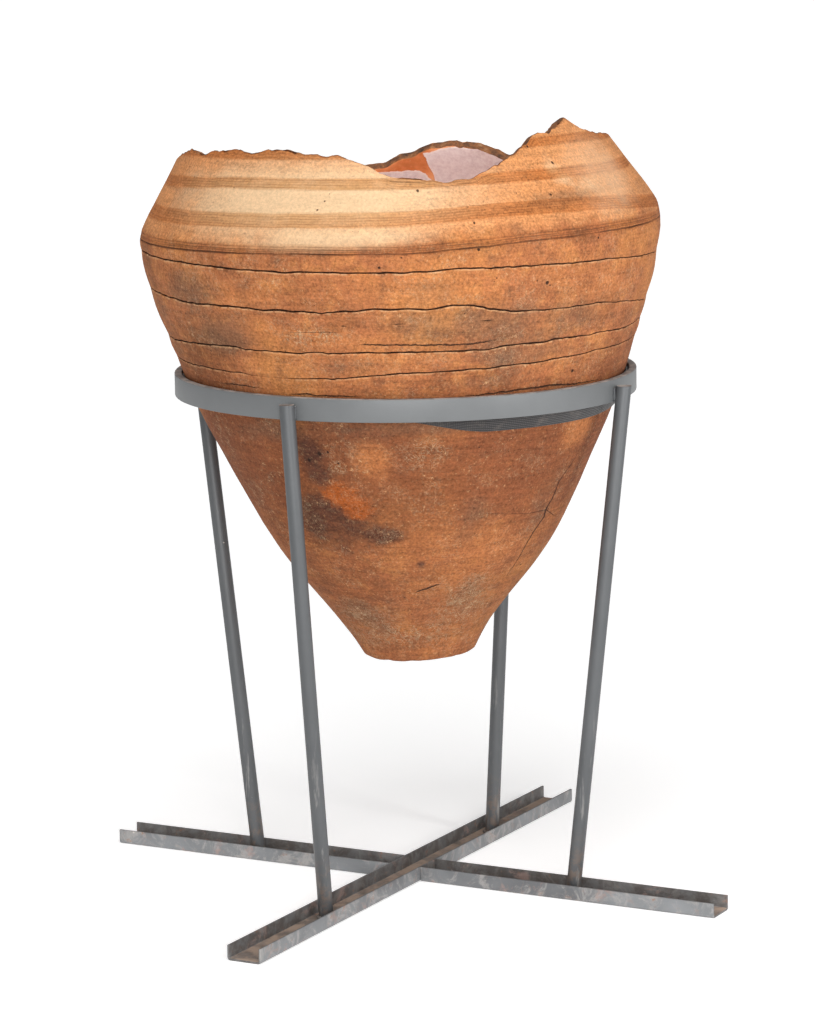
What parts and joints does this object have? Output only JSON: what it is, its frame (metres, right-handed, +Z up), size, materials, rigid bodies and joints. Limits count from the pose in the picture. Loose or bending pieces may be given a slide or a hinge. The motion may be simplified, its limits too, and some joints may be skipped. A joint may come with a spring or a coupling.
{
  "type": "broken pithos on a steel stand",
  "caption": "Large hollow earthenware storage jar with a broken rim and glazed inside, resting in the hoop of a welded round-bar stand on a U-channel cross.",
  "frame": {"origin": "on the floor under the middle of the foot cross", "axes": "+Z up, the long channel along Y, the two short channels along X; the jar is seen from its pictured side by looking from -Y, 28 degrees round towards +X"},
  "size_m": [0.934, 0.934, 1.062],
  "materials": {
    "fired_clay": "matte",
    "webbing": "matte",
    "stand_paint": "satin",
    "channel_paint": "satin"
  },
  "bodies": {
    "root": {"pithos": "fired_clay", "lining_strip": "webbing", "hoop": "stand_paint", "leg_front": "stand_paint", "leg_right": "stand_paint", "leg_left": "stand_paint", "leg_back": "stand_paint", "long_channel": "channel_paint", "short_channel_left": "channel_paint", "short_channel_right": "channel_paint"}
  },
  "joints": []
}
